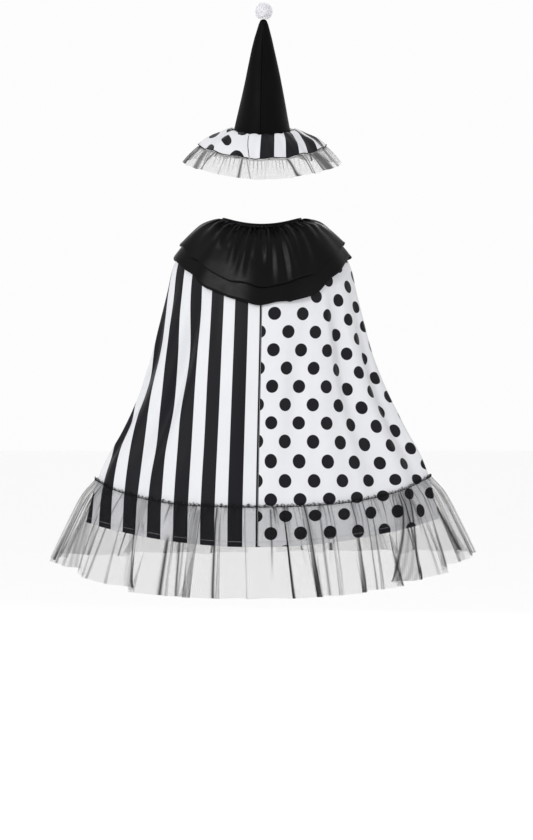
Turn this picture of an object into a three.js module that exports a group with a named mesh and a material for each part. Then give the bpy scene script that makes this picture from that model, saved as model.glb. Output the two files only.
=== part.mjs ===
// A jester's cape and pointed hat, as worn: a cape of four printed panels, one side striped and one side
// dotted, gathered on a neck band, with a two-layer collar and a flounce of black net over its hem, and a
// stiff cone hat with a ruffled brim, a frill of net and a pompom.
// Millimetres. +Z is up, the wearer faces +Y and the origin is the middle of the neck opening. A turn is
// measured round the wearer: 0 at the centre back, 90 degrees at the +X side, 180 at the centre front.

import * as THREE from "three";

const PRINT_WALL = 1.6; // printed cloth of the cape and of the hat's brim
const COLLAR_WALL = 1.4;
const NET_WALL = 1.0;
const FELT_WALL = 2.0;
const SEAM_GAP = 0.3; // between neighbouring pieces

const HALF_TURN = Math.PI;
const QUARTER_TURN = Math.PI / 2;
const radians = THREE.MathUtils.degToRad;
const smoothstep = THREE.MathUtils.smoothstep;

// Colours and finishes
const WHITE_PRINT = { color: 0xf1f1f4, roughness: 0.55 };
const STRIPED_PRINT = { color: 0x8d8c92, roughness: 0.55 };
const BLACK_SATIN = { color: 0x121214, roughness: 0.42 };
const BLACK_FELT = { color: 0x141416, roughness: 0.85 };
const BLACK_NET = { color: 0x26262a, roughness: 0.7 };
const BLACK_BUTTON = { color: 0x0d0d0f, roughness: 0.3 };
const WHITE_FUR = { color: 0xf4f4f6, roughness: 0.95 };

// The cape from its neck to its hem, in levels. A level is a curve all round the wearer, given where it
// crosses the centre back, the side seam and the centre front. flatness makes the curve straighter towards
// the sides, where the arms are held out: 1 is an ellipse.
const CAPE_LEVELS = [
  { backZ: -21, backY: 64, sideZ: -1, sideX: 91, frontZ: -60, frontY: 62, flatness: 1 },
  { backZ: -62, backY: 96, sideZ: -14, sideX: 139, frontZ: -104, frontY: 97, flatness: 1.04 },
  { backZ: -115, backY: 113, sideZ: -53, sideX: 179, frontZ: -156, frontY: 120, flatness: 1.12 },
  { backZ: -174, backY: 123, sideZ: -103, sideX: 211, frontZ: -213, frontY: 133, flatness: 1.22 },
  { backZ: -240, backY: 128, sideZ: -172, sideX: 228, frontZ: -274, frontY: 139, flatness: 1.3 },
  { backZ: -312, backY: 131, sideZ: -248, sideX: 247, frontZ: -338, frontY: 142, flatness: 1.36 },
  { backZ: -390, backY: 132, sideZ: -330, sideX: 268, frontZ: -405, frontY: 143, flatness: 1.42 },
  { backZ: -470, backY: 132, sideZ: -415, sideX: 298, frontZ: -472, frontY: 144, flatness: 1.48 },
  { backZ: -550, backY: 132, sideZ: -498, sideX: 338, frontZ: -538, frontY: 146, flatness: 1.54 },
  { backZ: -626, backY: 133, sideZ: -570, sideX: 379, frontZ: -600, frontY: 148, flatness: 1.58 },
  { backZ: -700, backY: 134, sideZ: -637, sideX: 404, frontZ: -656, frontY: 150, flatness: 1.6 },
  { backZ: -772, backY: 136, sideZ: -716, sideX: 423, frontZ: -712, frontY: 152, flatness: 1.6 },
];
const HEM_LEVEL = CAPE_LEVELS.length - 1;
const HEM_TILT = 1.3e-5; // per mm: the cape hangs a little lower on its -X side
const SEAM_DRIFT = 10; // the centre back seam strays this far towards -X by the hem
const HEADING_LEVEL = 9.72; // where the net flounce is stitched on
const HEADING_DIP = 0.14; // levels that its stitching lies lower halfway round to the side
const HEADING_FRILL = 0.13; // levels that the flounce stands up above its stitching

// Soft folds of the cape. A fold runs from one turn where it starts to another at the hem. depth is how far
// out a ridge comes (or in, for a trough) at the level where it is deepest, and atHem the share left there.
const FOLDS = [
  { from: -14, to: -12, spread: 8, depth: 3, start: 4.2, deepest: 8, atHem: 1 },
  { from: -27, to: -24, spread: 8, depth: -4, start: 4, deepest: 8, atHem: 0.9 },
  { from: -42, to: -50, spread: 8.5, depth: -15, start: 2.9, deepest: 5.6, atHem: 0.2 },
  { from: -60, to: -64, spread: 10, depth: 7, start: 3.2, deepest: 7, atHem: 0.6 },
  { from: -76, to: -78, spread: 9, depth: -8, start: 3.4, deepest: 6.5, atHem: 0.5 },
  { from: -91, to: -91, spread: 12, depth: -5, start: 6.3, deepest: 8, atHem: 0.2 },
  { from: 24, to: 5, spread: 8, depth: -8, start: 3.6, deepest: 6.5, atHem: 0.4 },
  { from: 37, to: 24, spread: 8, depth: 5, start: 3.4, deepest: 7, atHem: 0.8 },
  { from: 49, to: 42, spread: 8, depth: -13, start: 3, deepest: 5.4, atHem: 0.4 },
  { from: 58, to: 57, spread: 8, depth: 7, start: 3, deepest: 7, atHem: 0.8 },
  { from: 71, to: 70, spread: 9, depth: -9, start: 3.2, deepest: 7, atHem: 0.6 },
  { from: 91, to: 91, spread: 13, depth: 7, start: 5.2, deepest: 7.6, atHem: 0.3 },
  { from: 108, to: 106, spread: 10, depth: -11, start: 3.2, deepest: 7.5, atHem: 0.8 },
  { from: 124, to: 121, spread: 10, depth: 10, start: 3, deepest: 8, atHem: 1 },
  { from: 139, to: 136, spread: 9, depth: -12, start: 3, deepest: 7, atHem: 0.8 },
  { from: 153, to: 149, spread: 8, depth: 8, start: 3.2, deepest: 8, atHem: 1 },
  { from: 166, to: 162, spread: 7, depth: -6, start: 3.6, deepest: 8, atHem: 1 },
  { from: -106, to: -104, spread: 11, depth: -10, start: 3.2, deepest: 7.5, atHem: 0.9 },
  { from: -121, to: -119, spread: 10, depth: 10, start: 3, deepest: 8, atHem: 1 },
  { from: -137, to: -133, spread: 9, depth: -13, start: 3, deepest: 7, atHem: 0.7 },
  { from: -151, to: -148, spread: 8, depth: 9, start: 3.2, deepest: 8, atHem: 1 },
  { from: -164, to: -161, spread: 7, depth: -6, start: 3.6, deepest: 8, atHem: 1 },
];

// The front edges of the cape and the collars meet at the neck, where a button holds them, and part below.
const FRONT_HALF_GAP = { atNeck: 1, atHem: 30, atNetHem: 38 };
const FRONT_FLAT = radians(16); // the collars have no waves this close to their front edges

// The net flounce below its stitching
const FLOUNCE_LEVELS = [
  { backZ: -680, backY: 132, sideZ: -618, sideX: 398, frontZ: -640, frontY: 149, flatness: 1.6 },
  { backZ: -727, backY: 146, sideZ: -656, sideX: 431, frontZ: -680, frontY: 164, flatness: 1.55 },
  { backZ: -808, backY: 166, sideZ: -728, sideX: 468, frontZ: -742, frontY: 182, flatness: 1.45 },
  { backZ: -889, backY: 187, sideZ: -802, sideX: 503, frontZ: -806, frontY: 201, flatness: 1.4 },
];
const FLOUNCE = { columnsPerFold: 6, rows: [0, 0.1, 0.36, 0.66, 1], off: 1.3, atStitching: 2.6 };
// Its troughs, from one front edge round the back to the other: the turn of each at the stitching and at the
// hem, and how far the ridge after it stands out at the hem
const FLOUNCE_FOLDS = [
  { heading: -180, hem: -180, depth: 9 },
  { heading: -167, hem: -168, depth: 12 },
  { heading: -153, hem: -155, depth: 14 },
  { heading: -139, hem: -141, depth: 11 },
  { heading: -125, hem: -126, depth: 15 },
  { heading: -111, hem: -111, depth: 12 },
  { heading: -98, hem: -97, depth: 7 },
  { heading: -85, hem: -84, depth: 8 },
  { heading: -74, hem: -71, depth: 14 },
  { heading: -63, hem: -59, depth: 11 },
  { heading: -52, hem: -48, depth: 15 },
  { heading: -42, hem: -38, depth: 16 },
  { heading: -30, hem: -27, depth: 11 },
  { heading: -22, hem: -21, depth: 13 },
  { heading: -14, hem: -12, depth: 15 },
  { heading: -5, hem: -3, depth: 12 },
  { heading: 7, hem: 9, depth: 10 },
  { heading: 14, hem: 16, depth: 13 },
  { heading: 23, hem: 22, depth: 11 },
  { heading: 32, hem: 29, depth: 14 },
  { heading: 40, hem: 35, depth: 10 },
  { heading: 47, hem: 41, depth: 16 },
  { heading: 56, hem: 49, depth: 13 },
  { heading: 65, hem: 60, depth: 15 },
  { heading: 75, hem: 72, depth: 9 },
  { heading: 86, hem: 84, depth: 6 },
  { heading: 98, hem: 97, depth: 11 },
  { heading: 111, hem: 111, depth: 14 },
  { heading: 125, hem: 126, depth: 12 },
  { heading: 139, hem: 141, depth: 15 },
  { heading: 153, hem: 155, depth: 12 },
  { heading: 167, hem: 168, depth: 10 },
  { heading: 180, hem: 180, depth: 9 },
];

// The two collar layers, each a flounce round the neck. Ends are levels of the cape; the gathers are
// fine at the neck and open into a few broad waves at the edge.
const COLLAR_TOP_LEVEL = 0.06;
const COLLARS = {
  collar_upper: {
    columns: 96, rows: 5, backEnd: 2.82, sideEnd: 2.18, frontEnd: 2.75,
    lift: 6.1, tipLift: 7, gathers: 24, gatherDepth: 4.2, waves: 11, waveDepth: 4.5, phase: 0.7,
  },
  collar_lower: {
    columns: 54, rows: 5, backEnd: 3.46, sideEnd: 2.74, frontEnd: 3.35,
    lift: 3.4, tipLift: 5, gathers: 0, gatherDepth: 0, waves: 11, waveDepth: 3.4, phase: 2.1,
  },
};

const NECK_BAND = { height: 4, wall: 3.2, outset: 4, above: 6.9, columns: 48 };
const BUTTON = { radius: 8, thick: 3, level: 0.3, sides: 24 };

// The hat. Its own axis leans back, and heights along it are measured from the seam of the brim.
const HAT_PLACE = new THREE.Vector3(1, 15, 211);
const HAT_LEAN_BACK = radians(11.5);
const HAT_LEAN_SIDE = radians(0.6);
const HAT_OVAL = 1.13; // depth over width at the head opening
const CONE_TOP = 274;
const CONE_OUTLINE = [
  { height: -38, radius: 79.5 },
  { height: 0, radius: 71 },
  { height: 72, radius: 56.2 },
  { height: 150, radius: 39.4 },
  { height: 228, radius: 21.6 },
  { height: 262, radius: 12 },
  { height: 271, radius: 8 },
];
const CONE_SIDES = 32;

// The brim ruffle, from the seam on the cone to its edge
const BRIM_LEVELS = [
  { backR: 71.6, backH: 2, sideR: 71.6, sideH: 2, frontR: 71.6, frontH: 2 },
  { backR: 83, backH: 6, sideR: 82, sideH: 13, frontR: 82, frontH: 9 },
  { backR: 105, backH: -8, sideR: 110, sideH: 2, frontR: 108, frontH: 0 },
  { backR: 124, backH: -27, sideR: 134, sideH: -9, frontR: 132, frontH: -15 },
  { backR: 138, backH: -45, sideR: 153, sideH: -25, frontR: 150, frontH: -33 },
];
const BRIM = { waves: 12, columns: 40, rows: 4, edgeWave: 7, gathers: 18, gatherDepth: 2.4 };
// The dotted and striped halves of the brim meet at this turn at the back, and opposite it at the front.
const BRIM_JOIN = { atSeam: radians(-25), atEdge: radians(-12) };

// The hat's net frill, stitched under the brim's edge
const FRILL_LEVELS = [
  { backR: 139, backH: -49, sideR: 154, sideH: -29, frontR: 151, frontH: -37 },
  { backR: 146, backH: -70, sideR: 173, sideH: -48, frontR: 168, frontH: -53 },
  { backR: 151, backH: -93, sideR: 189, sideH: -68, frontR: 184, frontH: -70 },
];
const FRILL = { waves: 20, columnsPerWave: 5, stitchedFrom: 3.55, under: 4.2, edgeWave: 5 };

const POMPOM = { height: 289.6, core: 15.5, radius: 21.5, lockShare: 0.8, bareBelow: -0.72 };

// A value of a table's column at a level that may lie between two rows, on a smooth curve through the rows
function between(rows, column, level) {
  const i = THREE.MathUtils.clamp(Math.floor(level), 0, rows.length - 2);
  const at = (k) => rows[THREE.MathUtils.clamp(k, 0, rows.length - 1)][column];
  const f = level - i;
  const [a, b, c, d] = [at(i - 1), at(i), at(i + 1), at(i + 2)];
  return b + 0.5 * f * (c - a + f * (2 * a - 5 * b + 4 * c - d + f * (3 * (b - c) + d - a)));
}

// A column's value at the centre back or front, eased into the side's value round the curve. A higher
// fullness holds the centre's value over more of the way.
function roundTheWearer(rows, turn, level, kind, fullness = 2) {
  const centre = between(rows, (Math.cos(turn) > 0 ? "back" : "front") + kind, level);
  const side = between(rows, `side${kind}`, level);
  return centre + (side - centre) * Math.abs(Math.sin(turn)) ** fullness;
}

function capeLevelPoint(rows, turn, level) {
  const c = Math.cos(turn);
  const x = between(rows, "sideX", level) * Math.sin(turn);
  const y = -between(rows, c > 0 ? "backY" : "frontY", level) * Math.sign(c)
    * Math.abs(c) ** between(rows, "flatness", level);
  const z = roundTheWearer(rows, turn, level, "Z", rows === FLOUNCE_LEVELS ? 3 : 2);
  return new THREE.Vector3(x, y, z * (1 - HEM_TILT * x));
}

// The direction out of a surface point(turn, level)
function outward(point, turn, level) {
  const step = 0.01;
  const along = point(turn + step, level).sub(point(turn - step, level));
  const down = point(turn, level + step).sub(point(turn, level - step));
  return down.cross(along).normalize();
}

function foldDepth(turn, level) {
  return FOLDS.reduce((sum, fold) => {
    const at = THREE.MathUtils.mapLinear(level, fold.start, HEM_LEVEL, fold.from, fold.to);
    const away = THREE.MathUtils.euclideanModulo(turn - radians(at) + HALF_TURN, 2 * HALF_TURN) - HALF_TURN;
    const across = Math.abs(away) / radians(fold.spread);
    if (across >= 1 || level <= fold.start) return sum;
    const left = 1 - (1 - fold.atHem) * smoothstep(level, fold.deepest, HEM_LEVEL);
    return sum + fold.depth * Math.cos(across * QUARTER_TURN) ** 2
      * smoothstep(level, fold.start, fold.deepest) * left;
  }, 0);
}

function capePoint(turn, level) {
  const smooth = (a, b) => capeLevelPoint(CAPE_LEVELS, a, b);
  return smooth(turn, level)
    .addScaledVector(outward(smooth, turn, level), foldDepth(turn, Math.min(level, HEM_LEVEL)));
}

// Gathers from 0 to 1 with uneven widths, over shares of a length from 0 to 1
function gather(share, waves, phase) {
  const uneven = waves * (0.03 * Math.sin(2 * Math.PI * 3 * share + phase)
    + 0.016 * Math.sin(2 * Math.PI * 7 * share + 2 * phase));
  return 0.5 + 0.5 * Math.sin(2 * Math.PI * waves * share + uneven);
}

// A wall of cloth as one closed solid. outer(u, v) gives its outer surface for u along the turn and v down
// the cloth, both from 0 to 1, and the inner surface lies a wall's thickness behind it. rows lists v for each
// row of points. seat(point, u, v) may move points, such as those of an end column onto the plane of a seam.
function clothWall(name, outer, columns, rows, wall, finish, { closed = false, seat } = {}) {
  const wide = closed ? columns : columns + 1;
  const last = rows.length - 1;
  const outerPoints = [];
  const innerPoints = [];
  rows.forEach((v, j) => {
    const [above, below] = [rows[Math.max(0, j - 1)], rows[Math.min(last, j + 1)]];
    for (let i = 0; i < wide; i += 1) {
      const u = i / columns;
      const [before, after] = closed
        ? [((i + wide - 1) % wide) / columns, ((i + 1) % wide) / columns]
        : [(i - 1) / columns, (i + 1) / columns];
      const down = outer(u, below).sub(outer(u, above));
      const along = outer(after, v).sub(outer(before, v));
      const point = outer(u, v);
      outerPoints.push(point);
      innerPoints.push(point.clone().addScaledVector(down.cross(along).normalize(), -wall));
    }
  });
  const points = [...outerPoints, ...innerPoints];
  if (seat)
    points.forEach((p, k) => {
      const n = k % outerPoints.length;
      seat(p, (n % wide) / columns, rows[Math.floor(n / wide)]);
    });

  const back = outerPoints.length;
  const index = (i, j) => j * wide + (i % wide);
  const faces = [];
  const quad = (a, b, c, d) => faces.push(a, b, c, a, c, d);
  for (let i = 0; i < columns; i += 1) {
    for (let j = 0; j < last; j += 1) {
      const [a, b, c, d] = [index(i, j), index(i + 1, j), index(i + 1, j + 1), index(i, j + 1)];
      quad(a, d, c, b);
      quad(back + a, back + b, back + c, back + d);
    }
    quad(index(i, 0), index(i + 1, 0), back + index(i + 1, 0), back + index(i, 0));
    quad(index(i + 1, last), index(i, last), back + index(i, last), back + index(i + 1, last));
  }
  for (let j = 0; j < last && !closed; j += 1) {
    const [top, bottom] = [index(columns, j), index(columns, j + 1)];
    quad(index(0, j + 1), index(0, j), back + index(0, j), back + index(0, j + 1));
    quad(top, bottom, back + bottom, back + top);
  }
  return solid(name, points, faces, finish);
}

function evenRows(count) {
  return [...Array(count + 1).keys()].map((j) => j / count);
}

function solid(name, points, faces, finish) {
  const geometry = new THREE.BufferGeometry().setFromPoints(points).setIndex(faces);
  geometry.computeVertexNormals();
  const mesh = new THREE.Mesh(geometry, new THREE.MeshStandardMaterial({ metalness: 0, ...finish }));
  mesh.name = name;
  return mesh;
}

function frontHalfGap(level) {
  return THREE.MathUtils.lerp(FRONT_HALF_GAP.atNeck, FRONT_HALF_GAP.atHem, level / HEM_LEVEL);
}

function seamDrift(level) {
  return SEAM_DRIFT * smoothstep(level, 2, HEM_LEVEL);
}

// The turn at which the front edge lies, on a curve that is sideX wide
function frontEdgeTurn(halfGap, sideX) {
  return HALF_TURN - Math.asin(halfGap / sideX);
}

// A quarter of the cape. side is 1 for the +X side and -1 for the other.
function capePanel(name, side, isBack, finish) {
  const [columns, rows] = isBack ? [26, 11] : [20, 9];
  const outer = (u, v) => {
    const level = v * HEM_LEVEL;
    const sideX = between(CAPE_LEVELS, "sideX", level);
    const edge = frontEdgeTurn(frontHalfGap(level), sideX);
    const [from, to] = isBack ? [Math.asin((-side * seamDrift(level)) / sideX), QUARTER_TURN] : [QUARTER_TURN, edge];
    const share = side > 0 ? u : 1 - u;
    return capePoint(side * (from + (to - from) * share), level);
  };
  const outwards = isBack ? -1 : 1;
  const seat = (p, u, v) => {
    const share = side > 0 ? u : 1 - u;
    if (isBack && share === 0) p.x = (side * SEAM_GAP) / 2 - seamDrift(v * HEM_LEVEL);
    if (share === (isBack ? 1 : 0)) p.y = (outwards * SEAM_GAP) / 2;
    p.y = outwards * Math.max(outwards * p.y, SEAM_GAP / 2);
  };
  return clothWall(name, outer, columns, evenRows(rows), PRINT_WALL, finish, { seat });
}

// The net flounce: its top lies on the cape, follows the cape's folds and stands off more and more below.
function capeFlounce() {
  const folds = FLOUNCE_FOLDS.length - 1;
  const stitched = FLOUNCE.rows[1];
  const outer = (u, v) => {
    const drop = Math.max(0, (v - stitched) / (1 - stitched));
    const onCape = v <= stitched;
    const rows = onCape ? CAPE_LEVELS : FLOUNCE_LEVELS;
    const width = between(rows, "sideX", onCape ? HEADING_LEVEL : drop * (FLOUNCE_LEVELS.length - 1));
    const halfGap = THREE.MathUtils.lerp(frontHalfGap(HEADING_LEVEL), FRONT_HALF_GAP.atNetHem, drop);
    const fold = THREE.MathUtils.lerp(
      between(FLOUNCE_FOLDS, "heading", u * folds), between(FLOUNCE_FOLDS, "hem", u * folds), drop);
    const turn = radians(fold) * (frontEdgeTurn(halfGap, width) / HALF_TURN);
    const heading = HEADING_LEVEL + HEADING_DIP * Math.sin(2 * turn) ** 2;
    const at = onCape ? heading - HEADING_FRILL * (1 - v / stitched) : drop * (FLOUNCE_LEVELS.length - 1);
    const ridge = FLOUNCE_FOLDS[THREE.MathUtils.clamp(Math.floor(u * folds), 0, folds)];
    const depth = THREE.MathUtils.lerp(FLOUNCE.atStitching, ridge.depth, drop ** 0.8);
    const off = NET_WALL + FLOUNCE.off + foldDepth(turn, onCape ? at : heading)
      + depth * Math.sin(Math.PI * u * folds) ** 2;
    const smooth = (a, b) => capeLevelPoint(rows, a, b);
    return smooth(turn, at).addScaledVector(outward(smooth, turn, at), off);
  };
  return clothWall("cape_flounce", outer, folds * FLOUNCE.columnsPerFold, FLOUNCE.rows, NET_WALL, BLACK_NET);
}

// A turn from one front edge (u = 0) right round the back to the other (u = 1)
function frontToFront(u, level, sideX) {
  return (2 * u - 1) * frontEdgeTurn(frontHalfGap(level), sideX);
}

function collarSurface(cut, u, v) {
  const end = (turn) => {
    const c = Math.cos(turn);
    return cut.sideEnd + ((c > 0 ? cut.backEnd : cut.frontEnd) - cut.sideEnd) * c * c;
  };
  const flatLevel = COLLAR_TOP_LEVEL + (end((2 * u - 1) * HALF_TURN) - COLLAR_TOP_LEVEL) * v;
  const turn = frontToFront(u, flatLevel, between(CAPE_LEVELS, "sideX", flatLevel));
  const level = COLLAR_TOP_LEVEL + (end(turn) - COLLAR_TOP_LEVEL) * v;
  const wavy = smoothstep(HALF_TURN - Math.abs(turn), FRONT_FLAT / 2, FRONT_FLAT);
  const fine = cut.gatherDepth * gather(u, cut.gathers, cut.phase) * 16 * v * Math.exp(-6 * v);
  const broad = cut.waveDepth * gather(u, cut.waves, 2 * cut.phase) * v;
  const lift = cut.lift + cut.tipLift * v * v * (1 - 0.6 * Math.cos(turn) ** 2);
  const smooth = (a, b) => capeLevelPoint(CAPE_LEVELS, a, b);
  return smooth(turn, level).addScaledVector(outward(smooth, turn, level), lift + wavy * (fine + broad));
}

function collar(name) {
  const cut = COLLARS[name];
  const outer = (u, v) => collarSurface(cut, u, v);
  return clothWall(name, outer, cut.columns, evenRows(cut.rows), COLLAR_WALL, BLACK_SATIN);
}

// A narrow binding that stands on the gathered neck edge
function neckBand() {
  const outer = (u, v) => {
    const turn = frontToFront(u, 0, CAPE_LEVELS[0].sideX);
    const point = capeLevelPoint(CAPE_LEVELS, turn, 0);
    const out = new THREE.Vector3(Math.sin(turn), -Math.cos(turn), 0);
    point.addScaledVector(out, NECK_BAND.outset);
    point.z += NECK_BAND.above + NECK_BAND.height * (1 - v);
    return point;
  };
  return clothWall("neck_band", outer, NECK_BAND.columns, evenRows(1), NECK_BAND.wall, BLACK_SATIN);
}

// A flat round button over the front edges of the upper collar, just under the band
function neckButton() {
  const { radius, thick, level, sides } = BUTTON;
  const smooth = (a, b) => capeLevelPoint(CAPE_LEVELS, a, b);
  const out = outward(smooth, HALF_TURN, level);
  const geometry = new THREE.CylinderGeometry(radius - 1, radius, thick, sides);
  const mesh = new THREE.Mesh(geometry, new THREE.MeshStandardMaterial({ metalness: 0, ...BLACK_BUTTON }));
  mesh.name = "neck_button";
  mesh.position.copy(smooth(HALF_TURN, level))
    .addScaledVector(out, COLLARS.collar_upper.lift + 2 * SEAM_GAP + thick / 2);
  mesh.quaternion.setFromUnitVectors(new THREE.Vector3(0, 1, 0), out);
  return mesh;
}

// A point of the hat in its own frame, on an oval that rounds off away from the head opening
function hatPoint(turn, radius, height) {
  const oval = 1 + (HAT_OVAL - 1) * THREE.MathUtils.clamp(1 - height / CONE_TOP, 0, 1)
    * Math.min(1, CONE_OUTLINE[0].radius / radius);
  return new THREE.Vector3(radius * Math.sin(turn), -radius * oval * Math.cos(turn), height);
}

function hatLevelPoint(rows, turn, level) {
  return hatPoint(turn, roundTheWearer(rows, turn, level, "R"), roundTheWearer(rows, turn, level, "H"));
}

function hatCone() {
  const onOutline = CONE_OUTLINE.map(({ height, radius }) => new THREE.Vector2(radius, height));
  const inside = onOutline.map(({ x, y }) => new THREE.Vector2(x - FELT_WALL, y));
  const profile = [new THREE.Vector2(0, CONE_TOP - FELT_WALL), ...inside.reverse(),
    ...onOutline, new THREE.Vector2(0, CONE_TOP)];
  const geometry = new THREE.LatheGeometry(profile, CONE_SIDES).rotateX(QUARTER_TURN);
  const place = geometry.getAttribute("position");
  for (let k = 0; k < place.count; k += 1) {
    const p = new THREE.Vector3().fromBufferAttribute(place, k);
    const moved = hatPoint(Math.atan2(p.x, -p.y), Math.hypot(p.x, p.y), p.z);
    place.setXYZ(k, moved.x, moved.y, moved.z);
  }
  geometry.computeVertexNormals();
  const mesh = new THREE.Mesh(geometry, new THREE.MeshStandardMaterial({ metalness: 0, ...BLACK_FELT }));
  mesh.name = "hat_cone";
  return mesh;
}

function brimSurface(turn, level) {
  const smooth = (a, b) => hatLevelPoint(BRIM_LEVELS, a, b);
  const share = turn / (2 * HALF_TURN) + 0.5;
  const down = level / (BRIM_LEVELS.length - 1);
  const wave = BRIM.edgeWave * (gather(share, BRIM.waves, 0.4) - 0.5) * smoothstep(down, 0.05, 1);
  const fine = BRIM.gatherDepth * gather(share, BRIM.gathers, 1.9) * Math.exp(-(((down - 0.2) / 0.2) ** 2));
  return smooth(turn, level).addScaledVector(outward(smooth, turn, level), wave + fine);
}

// Half of the brim: side 1 is striped and runs from the join towards +X, and side -1 is dotted.
function hatBrim(name, side, finish) {
  const gapTurn = (1.5 * SEAM_GAP) / CONE_OUTLINE[1].radius;
  const outer = (u, v) => {
    const join = THREE.MathUtils.lerp(BRIM_JOIN.atSeam, BRIM_JOIN.atEdge, v) - (side > 0 ? 0 : HALF_TURN);
    const turn = join + gapTurn + (HALF_TURN - 2 * gapTurn) * u;
    return brimSurface(turn, v * (BRIM_LEVELS.length - 1));
  };
  return clothWall(name, outer, BRIM.columns, evenRows(BRIM.rows), PRINT_WALL, finish);
}

function hatFrill() {
  const stitchedShare = 1 / 3;
  const outer = (u, v) => {
    const turn = -HALF_TURN + 2 * HALF_TURN * u;
    const brimEnd = BRIM_LEVELS.length - 1;
    if (v <= stitchedShare) {
      const level = THREE.MathUtils.lerp(FRILL.stitchedFrom, brimEnd, v / stitchedShare);
      return brimSurface(turn, level).addScaledVector(outward(brimSurface, turn, level), -FRILL.under);
    }
    const drop = ((v - stitchedShare) / (1 - stitchedShare)) * (FRILL_LEVELS.length - 1);
    const smooth = (a, b) => hatLevelPoint(FRILL_LEVELS, a, b);
    const wave = FRILL.edgeWave * (gather(u, FRILL.waves, 0.9) - 0.5) * (drop / (FRILL_LEVELS.length - 1));
    const brimWave = BRIM.edgeWave * (gather(u, BRIM.waves, 0.4) - 0.5);
    return smooth(turn, drop).addScaledVector(outward(smooth, turn, drop), wave + brimWave);
  };
  const columns = FRILL.waves * FRILL.columnsPerWave;
  return clothWall("hat_frill", outer, columns, evenRows(3), NET_WALL, BLACK_NET, { closed: true });
}

// A round core with a short three-sided lock of yarn out of each of its faces
function pompom() {
  const core = new THREE.IcosahedronGeometry(POMPOM.core, 2).getAttribute("position");
  const points = [];
  const faces = [];
  const corner = (p) => {
    const known = points.findIndex((q) => q.distanceToSquared(p) < 1e-6);
    return known < 0 ? points.push(p) - 1 : known;
  };
  for (let k = 0; k < core.count; k += 3) {
    const base = [0, 1, 2].map((n) => new THREE.Vector3().fromBufferAttribute(core, k + n));
    const ring = base.map(corner);
    const middle = base[0].clone().add(base[1]).add(base[2]).divideScalar(3);
    const direction = middle.clone().normalize();
    if (direction.z < POMPOM.bareBelow) {
      faces.push(...ring);
      continue;
    }
    const root = base.map((p) => points.push(middle.clone().lerp(p, POMPOM.lockShare)) - 1);
    const reach = POMPOM.radius * (0.94 + 0.06 * Math.sin(k));
    const tip = points.push(direction.multiplyScalar(reach)) - 1;
    for (const [n, m] of [[0, 1], [1, 2], [2, 0]]) {
      faces.push(ring[n], ring[m], root[m], ring[n], root[m], root[n]);
      faces.push(root[n], root[m], tip);
    }
  }
  const mesh = solid("hat_pompom", points, faces, WHITE_FUR);
  mesh.position.set(0, 0, POMPOM.height);
  return mesh;
}

const cape = new THREE.Group();
cape.add(
  capePanel("cape_back_striped", -1, true, STRIPED_PRINT),
  capePanel("cape_back_dotted", 1, true, WHITE_PRINT),
  capePanel("cape_front_striped", -1, false, STRIPED_PRINT),
  capePanel("cape_front_dotted", 1, false, WHITE_PRINT),
  capeFlounce(),
  collar("collar_lower"),
  collar("collar_upper"),
  neckBand(),
  neckButton(),
);

const hat = new THREE.Group();
hat.add(
  hatCone(),
  hatBrim("hat_brim_striped", 1, STRIPED_PRINT),
  hatBrim("hat_brim_dotted", -1, WHITE_PRINT),
  hatFrill(),
  pompom(),
);
hat.position.copy(HAT_PLACE);
hat.rotation.set(HAT_LEAN_BACK, HAT_LEAN_SIDE, 0);

const costume = new THREE.Group();
costume.add(cape, hat);

export default costume;
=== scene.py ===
import math
import bpy
import numpy as np
from mathutils import Matrix, Vector


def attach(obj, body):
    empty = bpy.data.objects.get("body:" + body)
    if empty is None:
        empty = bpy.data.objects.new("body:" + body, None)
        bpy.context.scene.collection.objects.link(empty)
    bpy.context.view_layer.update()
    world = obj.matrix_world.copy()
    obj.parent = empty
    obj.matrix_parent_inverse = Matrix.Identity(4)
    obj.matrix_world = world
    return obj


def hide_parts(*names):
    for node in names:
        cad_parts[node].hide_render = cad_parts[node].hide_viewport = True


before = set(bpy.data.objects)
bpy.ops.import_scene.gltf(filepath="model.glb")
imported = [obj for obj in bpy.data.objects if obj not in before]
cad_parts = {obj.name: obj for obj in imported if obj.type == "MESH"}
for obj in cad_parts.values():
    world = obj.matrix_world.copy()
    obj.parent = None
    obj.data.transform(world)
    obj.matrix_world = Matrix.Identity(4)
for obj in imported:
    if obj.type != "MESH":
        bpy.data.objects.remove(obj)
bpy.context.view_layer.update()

# Tables and shape functions are in millimetres and degrees. Meshes are made in metres. +Z is up, the wearer
# faces +Y, and a turn is measured round the wearer: 0 at the centre back, 90 degrees at the +X side.

MM = 0.001
PI = math.pi


def table(columns, *rows):
    values = np.array(rows, float)
    return {name: values[:, k] for k, name in enumerate(columns.split())}


CAPE = table(
    "back_z back_y side_z side_x front_z front_y flatness",
    (-21, 64, -1, 91, -60, 62, 1),
    (-62, 96, -14, 139, -104, 97, 1.04),
    (-115, 113, -53, 179, -156, 120, 1.12),
    (-174, 123, -103, 211, -213, 133, 1.22),
    (-240, 128, -172, 228, -274, 139, 1.3),
    (-312, 131, -248, 247, -338, 142, 1.36),
    (-390, 132, -330, 268, -405, 143, 1.42),
    (-470, 132, -415, 298, -472, 144, 1.48),
    (-550, 132, -498, 338, -538, 146, 1.54),
    (-626, 133, -570, 379, -600, 148, 1.58),
    (-700, 134, -637, 404, -656, 150, 1.6),
    (-772, 136, -716, 423, -712, 152, 1.6),
)
HEM_LEVEL = 11
HEM_TILT = 1.3e-5
SEAM_DRIFT = 10
SEAM_GAP = 0.3
FRONT_HALF_GAP = (1, 30, 38)  # at the neck, at the cape's hem and at the net's hem
HEADING = dict(level=9.72, dip=0.14, frill=0.13)

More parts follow.
